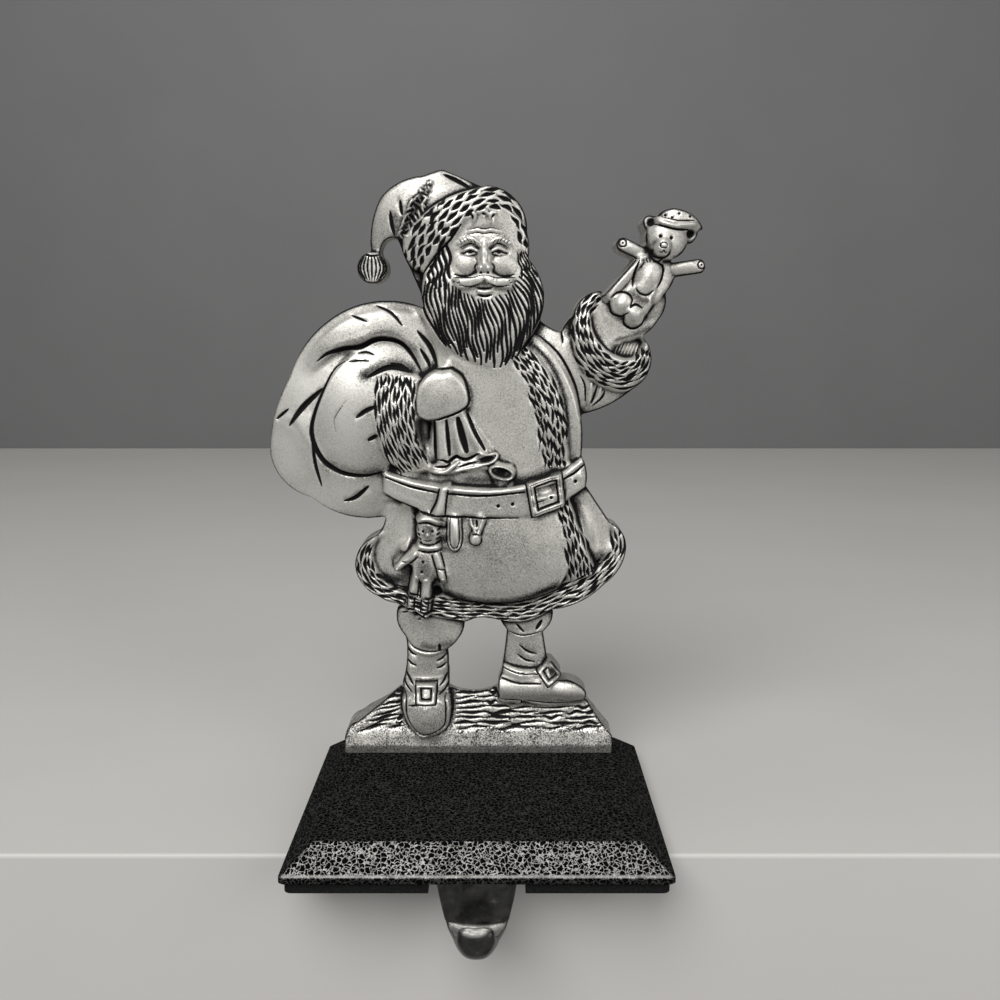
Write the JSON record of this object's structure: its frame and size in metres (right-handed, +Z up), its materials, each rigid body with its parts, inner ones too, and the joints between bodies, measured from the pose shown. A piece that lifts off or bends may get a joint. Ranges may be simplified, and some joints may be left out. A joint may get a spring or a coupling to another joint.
{
  "type": "mantel stocking holder",
  "caption": "Mantel stocking holder: a cast relief of a bearded gift bringer with sack and toy bear, on a bevelled base with a forward hook for a stocking.",
  "frame": {"origin": "centre of the foam pad's underside, where the holder sits on the mantel", "axes": "+Z up, +X to the right as seen from the front, the hook and the figure's face towards -Y"},
  "size_m": [0.1302, 0.0975, 0.2025],
  "materials": {
    "blackened_casting": "blackened, crackle texture rubbed back to silver on the front bevel",
    "antiqued_pewter": "antiqued silver, dark in the recesses",
    "foam_pad": "matte foam sheet",
    "steel_screws": "plain"
  },
  "bodies": {
    "root": {"base": "blackened_casting", "figure": "antiqued_pewter", "foot_pad": "foam_pad", "fixing_screws": "steel_screws"}
  },
  "joints": []
}
